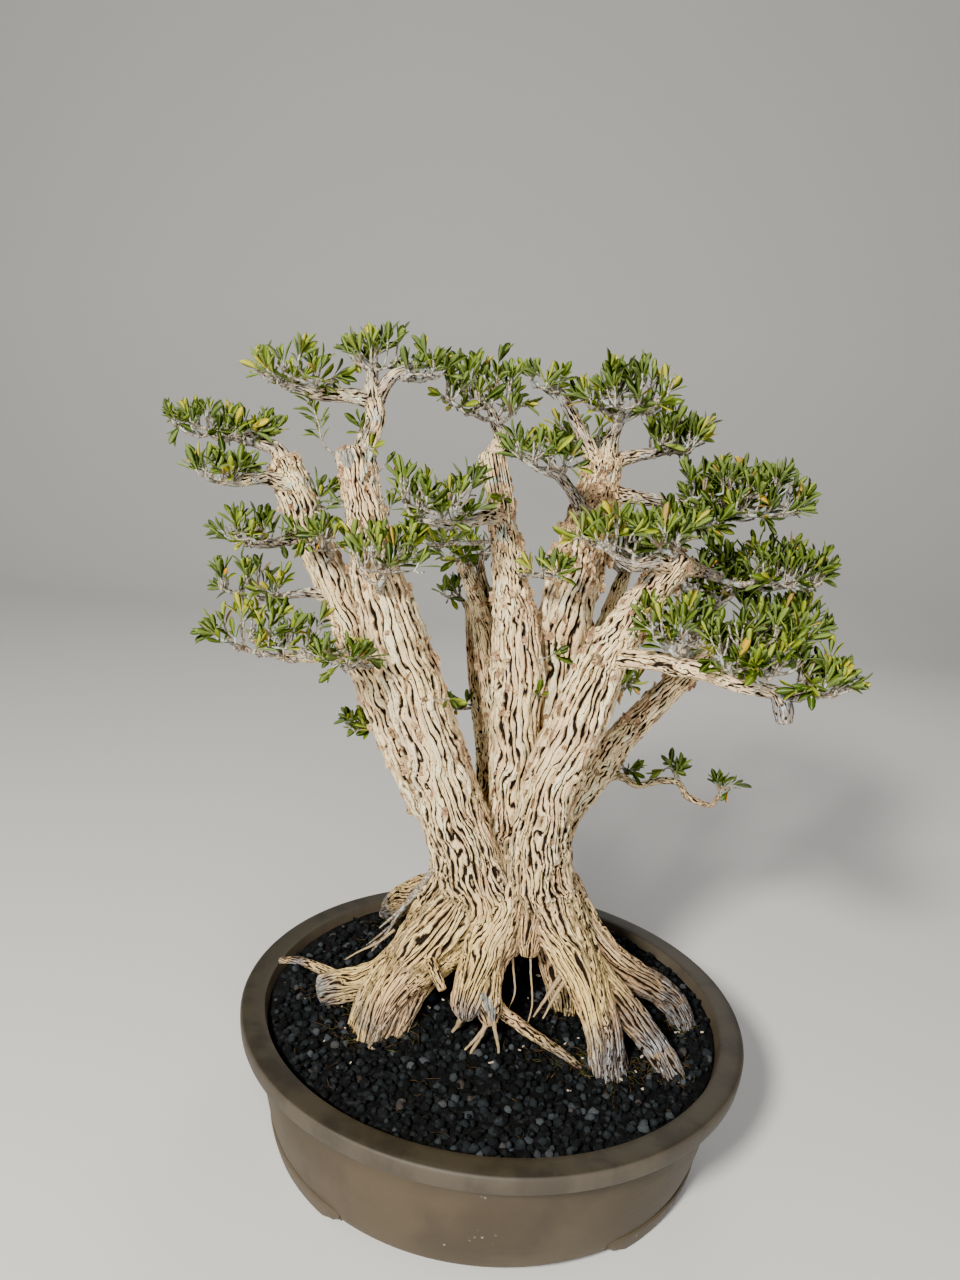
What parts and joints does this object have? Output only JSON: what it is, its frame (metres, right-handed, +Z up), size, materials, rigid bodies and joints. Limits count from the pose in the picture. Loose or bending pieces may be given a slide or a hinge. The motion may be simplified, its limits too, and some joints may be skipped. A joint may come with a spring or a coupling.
{
  "type": "boxwood bonsai in a pot",
  "caption": "Boxwood bonsai with several leaders, surface roots and leafy pads, in a round unglazed stoneware pot filled with black lava grit.",
  "frame": {"origin": "centre of the plant's bounding box, on the surface that the pot stands on; the pot's axis is at x = 0.030 m, y = 0", "axes": "+Z up; the tree's front, as seen in the picture, faces -Y; +X is to the right in that view"},
  "size_m": [0.5744, 0.44, 0.6868],
  "materials": {
    "unglazed_stoneware": "matt unglazed, mottled ochre brown",
    "black_lava_grit": "rough and dry",
    "pale_bark": "fissured and matt",
    "boxwood_leaf": "glossy leaf on a grey twig",
    "black_net": "plain"
  },
  "bodies": {
    "root": {"pot": "unglazed_stoneware", "soil": "black_lava_grit", "trunk": "pale_bark", "drain_screen_1": "black_net", "drain_screen_2": "black_net", "drain_screen_3": "black_net", "spray_top_left": "boxwood_leaf", "spray_top_left_fork": "boxwood_leaf", "spray_top_left_upright": "boxwood_leaf", "spray_far_left": "boxwood_leaf", "spray_left_hook": "boxwood_leaf", "spray_left_upper": "boxwood_leaf", "spray_left_middle": "boxwood_leaf", "spray_left_low": "boxwood_leaf", "spray_left_low_inner": "boxwood_leaf", "spray_on_break": "boxwood_leaf", "spray_behind_break": "boxwood_leaf", "spray_between_leaders": "boxwood_leaf", "sprig_on_cut": "boxwood_leaf", "spray_centre_left": "boxwood_leaf", "spray_centre_low": "boxwood_leaf", "spray_centre_top": "boxwood_leaf", "spray_top_arch": "boxwood_leaf", "spray_top_right": "boxwood_leaf", "spray_centre_front": "boxwood_leaf", "spray_right_top": "boxwood_leaf", "spray_front_top": "boxwood_leaf", "spray_front_top_right": "boxwood_leaf", "spray_right_upper": "boxwood_leaf", "spray_right_middle": "boxwood_leaf", "spray_right_low": "boxwood_leaf", "spray_long_branch_inner": "boxwood_leaf", "spray_long_branch_middle": "boxwood_leaf", "spray_long_branch_tip": "boxwood_leaf", "spray_back_stem": "boxwood_leaf", "spray_thin_stem": "boxwood_leaf", "spray_far_stem": "boxwood_leaf", "spray_far_stem_low": "boxwood_leaf", "spray_hidden_back": "boxwood_leaf", "spray_hidden_back_low": "boxwood_leaf", "spray_back_top": "boxwood_leaf", "spray_low_back_near": "boxwood_leaf", "spray_low_back_middle": "boxwood_leaf", "spray_low_back_tip": "boxwood_leaf", "spray_back_left_low": "boxwood_leaf", "sprout_on_front_left": "boxwood_leaf", "sprout_on_middle": "boxwood_leaf", "sprout_above_middle": "boxwood_leaf", "sprout_on_front_right": "boxwood_leaf", "sprout_between_tops": "boxwood_leaf"}
  },
  "joints": []
}
